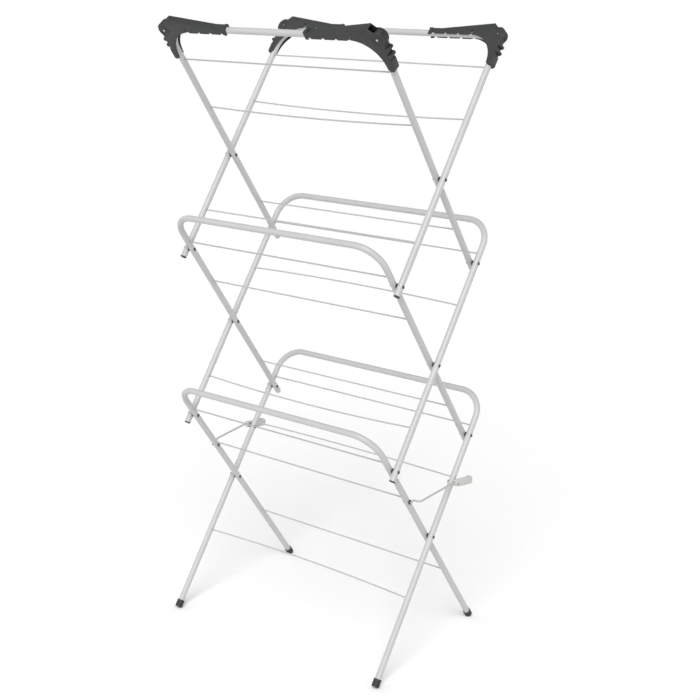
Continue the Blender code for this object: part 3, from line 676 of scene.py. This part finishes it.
def rod_mesh(side):
    """The bent rod, from the narrow leg out to its strut and along that into the grip."""
    pivot, pin = latch_points()
    reach = pin[0] - pivot[0]
    leg = INNER_SPAN / 2 + TUBE_R
    face = leg + FIT
    bow = leg + LATCH_BOW[side]
    bend_r = LATCH_BEND_R[side]
    points = [(leg - 2 * TUBE_R - 0.0012, 0, 0), (face + ROD_COLLAR_T, 0, 0)]
    rises_first = bow - bend_r > face + 0.015
    if rises_first:
        for out, up in ((0.0042, 0.0003), (0.0058, 0.0014), (0.0074, 0.0035),
                        (0.0092, 0.0057), (0.0110, 0.0070), (0.0130, LATCH_RISE)):
            points.append((face + out, 0, up))
        points += [(x, y, LATCH_RISE) for x, y in arc((bow - bend_r, bend_r), bend_r, -90, 0, 12)]
    else:
        points += [(x, y, 0) for x, y in arc((bow - bend_r, bend_r), bend_r, -70, 0, 12)]
        for out, along, up in ((0.0003, 0.006, 0.0014), (0.0006, 0.0095, 0.0036),
                               (0.0010, 0.013, 0.0060), (0.0015, 0.018, LATCH_RISE)):
            points.append((bow + out, bend_r + along, up))
    points += [(LATCH_X - 0.0004, reach - GRIP_NOSE - 0.006, GRIP_ROD_UP),
               (LATCH_X, reach - GRIP_NOSE - 0.001, GRIP_ROD_UP),
               (LATCH_X, reach + 0.001, GRIP_ROD_UP)]
    return sweep("latch_rod", points, LATCH_ROD_R, 20)


def washer_mesh(out, inn, radius, bore):
    """A ring from height inn to height out, with its outer edges broken."""
    profile = [(bore, out), (radius - 0.0004, out), (radius, out - 0.0004),
               (radius, inn + 0.0004), (radius - 0.0004, inn), (bore, inn), (bore, out)]
    return lathe("washer", profile, 32)


def grip_outline():
    """Side view of a grip from the latch pin, with the hook that drops over the pin."""
    seat = PIN_R + FIT
    points = [(-GRIP_NOSE, 0.0025), (-GRIP_NOSE, 0.0118), (-GRIP_NOSE + 0.0006, 0.0125)]
    points += [(-GRIP_NOSE + 0.0014, 0.0126)]
    points += [(GRIP_TAIL - 0.022, 0.0035), (GRIP_TAIL - 0.018, 0.0036)]
    points += [(GRIP_TAIL - 0.015, 0.0041), (GRIP_TAIL - 0.012, 0.0042)]
    points += [(GRIP_TAIL - 0.008, 0.0035), (GRIP_TAIL - 0.004, 0.0018)]
    points += [(GRIP_TAIL - 0.001, -0.0006), (GRIP_TAIL, -0.0025), (GRIP_TAIL, -0.0125)]
    points += [(GRIP_TAIL - 0.0012, -0.0160), (GRIP_TAIL - 0.0040, -0.0178)]
    points += [(0.0060, -0.0084), (seat, -0.0068)]
    points += arc((0.0, 0.0), seat, 0, 165, 14)
    points += [(-0.0062, -0.0046), (-0.0082, -0.0030), (-GRIP_NOSE + 0.0006, -0.0008)]
    return points


def grip_mesh():
    """The grip with a recess in each wall of its tail and the rod's bore, lying along Y."""
    body = plate("grip", grip_outline(), GRIP_T / 2, 0.0009)
    tool = bmesh.new()
    slope = math.atan2(0.0096, GRIP_TAIL - 0.010)
    for side in (-1, 1):
        for down in (0.0006, -0.0066):
            middle = (0.036, side * GRIP_T / 2, down - 0.0022)
            low = (middle[0] - 0.022, middle[1] - 0.0005, middle[2] - 0.0006)
            high = (middle[0] + 0.022, middle[1] + 0.0005, middle[2] + 0.0006)
            block_tool(tool, low, high, Matrix.Rotation(slope, 4, "Y"))
    rod_tool(tool, (-GRIP_NOSE - 0.01, 0, GRIP_ROD_UP), (0.002, 0, GRIP_ROD_UP),
             LATCH_ROD_R + SNUG, 24)
    body = cut(body, tool)
    body.transform(Matrix(((0, 1, 0, 0), (1, 0, 0, 0), (0, 0, 1, 0), (0, 0, 0, 1))))
    body.flip_normals()
    return body


def pin_mesh():
    """The latch pin through the wide leg, ending flush inside the grip."""
    inside = OUTER_SPAN / 2 - TUBE_R
    outside = LATCH_X + GRIP_T / 2 - 0.0005
    profile = [(0.0, outside), (PIN_R - 0.0004, outside), (PIN_R, outside - 0.0004)]
    profile += [(PIN_R, inside), (PIN_HEAD_R, inside)]
    profile += [(PIN_HEAD_R, inside - 0.0008), (PIN_HEAD_R - 0.0010, inside - 0.0015),
                (0.0, inside - 0.0017)]
    return lathe("latch_pin", profile, 32)


# ---- assembling the six frames ------------------------------------------------------------
rod_hole = (LATCH_ARM, LATCH_ROD_R + FIT)
pin_hole = (LATCH_ARM, PIN_R + SNUG)
foot_end = -FOOT_ARM + SOLE + SNUG / 2
plug_end = -TAIL_ARM + PLUG_FLANGE + SNUG / 2
both_ends = [-PIVOT_ARM, 0, PIVOT_ARM]
# name, storey, wide or not, end of the legs, places of the rivets, other holes
FRAMES = (
    ("base_inner", 0, False, foot_end, [0, PIVOT_ARM], [rod_hole]),
    ("base_outer", 0, True, foot_end, [0, PIVOT_ARM], [pin_hole]),
    ("middle_outer", 1, True, plug_end, both_ends, []),
    ("middle_inner", 1, False, -TAIL_ARM, both_ends, []),
    ("top_outer", 2, True, plug_end, [-PIVOT_ARM, 0], []),
    ("top_inner", 2, False, -TAIL_ARM, [-PIVOT_ARM, 0], []),
)
RIVETS = {"base_outer": [("base_centre", 0), ("lower_back", PIVOT_ARM)],
          "middle_outer": [("lower_front", -PIVOT_ARM), ("middle_centre", 0),
                           ("upper_back", PIVOT_ARM)],
          "top_outer": [("upper_front", -PIVOT_ARM), ("top_centre", 0)]}
FEET = {"base_inner": "foot_back", "base_outer": "foot_front"}
PLUGS = {"middle_outer": "middle_end_cap", "top_outer": "top_end_cap"}
COVERS = {"top_outer": ("back", -1), "top_inner": ("front", 1)}

rivet = rivet_mesh()
spacer = spacer_mesh()
cover = cover_mesh()
screw = cover_screw_mesh()

for name, tier, wide, leg_end, pivots, extra in FRAMES:
    span = OUTER_SPAN if wide else INNER_SPAN
    place = frame_place(tier, wide)
    bar_arm = BAR_ARM.get(name, BAR_ARM["wide" if wide else "narrow"])
    arms = {level: arm + WIRE_RAISE.get((name, level), 0) for level, arm in WIRE_ARM.items()}
    through = [(arm, RIVET_HOLE_R) for arm in pivots] + extra
    tube = tube_mesh(name, span, bar_arm, leg_end, not wide and tier > 0, through,
                     arms.values())
    put("v_" + name + "_tube", tube, TUBE_PAINT, name, place,
        [name + "_tube"])
    for level, arm in arms.items():
        wire = wire_mesh(name + level, span, arm, WIRE_BOW.get((name, level), 0.0))
        put(f"v_{name}_wire_{level}", wire, WIRE_PAINT, name, place,
            [f"{name}_wire_{level}"])
    for side, sign in SIDES:
        for label, arm in RIVETS.get(name, []):
            at = place @ Matrix.Translation((0, 0, arm)) @ on_side(sign)
            put(f"v_rivet_{label}_{side}", rivet.copy(), RIVET_STEEL, name,
                at, [f"rivet_{label}_{side}"])
            put(f"v_spacer_{label}_{side}", spacer.copy(), CAP_PLASTIC, name,
                at)
        if name in FEET:
            at = place @ Matrix.Translation((sign * span / 2, 0, -FOOT_ARM))
            foot = sit_on_floor(foot_mesh(), at)
            put(f"v_{FEET[name]}_{side}", foot, CAP_PLASTIC, name, at,
                [f"{FEET[name]}_{side}"])
        if name in PLUGS:
            at = place @ Matrix.Translation((sign * span / 2, 0, -TAIL_ARM))
            put(f"v_{PLUGS[name]}_{side}", plug_mesh(), CAP_PLASTIC, name, at,
                [f"{PLUGS[name]}_{side}"])
        if name in COVERS:
            label, facing = COVERS[name]
            at = place @ Matrix.Translation((sign * span / 2, 0, bar_arm))
            mesh = cover.copy() if sign > 0 else mirrored(cover)
            put(f"v_corner_cover_{label}_{side}", mesh, COVER_PLASTIC, name,
                at, [f"corner_cover_{label}_{side}"])
            at = at @ Matrix.Translation((sign * SCREW_X, 0, SCREW_Z))
            at = at @ Matrix.Rotation(facing * math.pi / 2, 4, "X")
            put(f"v_cover_screw_{label}_{side}", screw.copy(), SCREW_STEEL,
                name, at, [f"cover_screw_{label}_{side}"])

pivot, pin = latch_points()
grip = grip_mesh()
pin_solid = pin_mesh()
for side, sign in SIDES:
    at = Matrix.Translation((0, pivot[0], pivot[1]))
    rod = rod_mesh(side)
    put(f"v_latch_rod_{side}", rod if sign > 0 else mirrored(rod), WIRE_PAINT,
        f"latch_{side}", at, [f"latch_rod_{side}"])
    leg = INNER_SPAN / 2 + TUBE_R
    out = washer_mesh(leg + SNUG + ROD_COLLAR_T, leg + SNUG, ROD_COLLAR_R,
                      LATCH_ROD_R + SNUG / 2)
    put(f"v_latch_spacer_{side}", out, CAP_PLASTIC, f"latch_{side}",
        at @ on_side(sign))
    leg = INNER_SPAN / 2 - TUBE_R
    inn = washer_mesh(leg - SNUG, leg - 0.0016, 0.0044, LATCH_ROD_R - 0.0006)
    put(f"v_latch_clip_{side}", inn, RIVET_STEEL, f"latch_{side}",
        at @ on_side(sign))
    at = Matrix.Translation((sign * LATCH_X, pin[0], pin[1]))
    put(f"v_latch_grip_{side}", grip.copy() if sign > 0 else mirrored(grip), GRIP_PLASTIC,
        f"latch_{side}", at, [f"latch_grip_{side}"])
    at = Matrix.Translation((0, pin[0], pin[1])) @ Matrix.Rotation(-LEAN, 4, "X")
    leg = OUTER_SPAN / 2 + TUBE_R
    washer = washer_mesh(leg + FIT + WASHER_T, leg + SNUG, WASHER_R, PIN_R + SNUG / 2)
    put(f"v_pin_washer_{side}", washer, CAP_PLASTIC, "base_outer",
        at @ on_side(sign))
    put(f"v_latch_pin_{side}", pin_solid.copy(), RIVET_STEEL, "base_outer",
        at @ on_side(sign), [f"latch_pin_{side}"])


# ---- floor, light, camera ------------------------------------------------------------------
FLOOR_HALF = 400
CAMERA_PLACE = (1.8234, -2.3503, 1.2750 + BASE_Z)
CAMERA_YAW = math.radians(-36.76)
CAMERA_PITCH = math.radians(-16.267)
CAMERA_ROLL = math.radians(0.781)
CAMERA_LENS = 65.03
SKY_LOW = 1.0               # brightness of the backdrop, up to SKY_LOW_Z of the way up
SKY_HIGH = 0.28             # brightness overhead, from SKY_HIGH_Z
SKY_LOW_Z = 0.28
SKY_HIGH_Z = 0.75


def add_floor():
    bm = bmesh.new()
    bmesh.ops.create_grid(bm, x_segments=2, y_segments=2, size=FLOOR_HALF)
    floor = bpy.data.objects.new("studio_floor", finish_mesh(bm, "studio_floor"))
    LOOKS.objects.link(floor)
    material = bpy.data.materials.new("studio_floor")
    material.use_nodes = True
    shader = material.node_tree.nodes["Principled BSDF"]
    shader.inputs["Base Color"].default_value = (0.93, 0.93, 0.93, 1)
    shader.inputs["Roughness"].default_value = 0.9
    shader.inputs["Specular IOR Level"].default_value = 0.1
    floor.data.materials.append(material)


def add_sun(name, azimuth, elevation, strength, angle):
    """A soft light from that compass bearing (0 is the front, 90 the right) and height."""
    light = bpy.data.lights.new(name, "SUN")
    light.energy = strength
    light.angle = math.radians(angle)
    lamp = bpy.data.objects.new(name, light)
    LOOKS.objects.link(lamp)
    bearing = math.radians(azimuth)
    height = math.radians(elevation)
    source = Vector((math.sin(bearing) * math.cos(height),
                     -math.cos(bearing) * math.cos(height), math.sin(height)))
    lamp.rotation_euler = source.to_track_quat("Z", "Y").to_euler()


def add_backdrop():
    """A white backdrop that darkens overhead."""
    world = bpy.data.worlds.new("studio")
    world.use_nodes = True
    tree = world.node_tree
    coords = tree.nodes.new("ShaderNodeTexCoord")
    axes = tree.nodes.new("ShaderNodeSeparateXYZ")
    tree.links.new(coords.outputs["Generated"], axes.inputs["Vector"])
    level = tree.nodes.new("ShaderNodeMapRange")
    level.inputs["From Min"].default_value = SKY_LOW_Z
    level.inputs["From Max"].default_value = SKY_HIGH_Z
    level.inputs["To Min"].default_value = SKY_LOW
    level.inputs["To Max"].default_value = SKY_HIGH
    tree.links.new(axes.outputs["Z"], level.inputs["Value"])
    sky = tree.nodes["Background"]
    sky.inputs["Color"].default_value = (1, 1, 1, 1)
    tree.links.new(level.outputs["Result"], sky.inputs["Strength"])
    bpy.context.scene.world = world


def add_camera():
    """The camera of the main view, placed by its yaw, pitch and roll."""
    level = math.cos(CAMERA_PITCH)
    ahead = Vector((math.sin(CAMERA_YAW) * level, math.cos(CAMERA_YAW) * level,
                    math.sin(CAMERA_PITCH)))
    right = Vector((math.cos(CAMERA_YAW), -math.sin(CAMERA_YAW), 0))
    up = right.cross(ahead)
    turned_right = right * math.cos(CAMERA_ROLL) + up * math.sin(CAMERA_ROLL)
    turned_up = up * math.cos(CAMERA_ROLL) - right * math.sin(CAMERA_ROLL)
    data = bpy.data.cameras.new("camera")
    data.sensor_width = 36.0
    data.lens = CAMERA_LENS
    data.clip_end = 2000.0
    camera = bpy.data.objects.new("camera", data)
    LOOKS.objects.link(camera)
    turn = Matrix((turned_right, turned_up, -ahead)).transposed().to_4x4()
    camera.matrix_world = Matrix.Translation(CAMERA_PLACE) @ turn
    bpy.context.scene.camera = camera


add_floor()
add_backdrop()
add_sun("key", 30, 48, 2.3, 35)
add_sun("fill", -60, 40, 0.3, 50)
bpy.context.scene.view_settings.view_transform = "Standard"
add_camera()
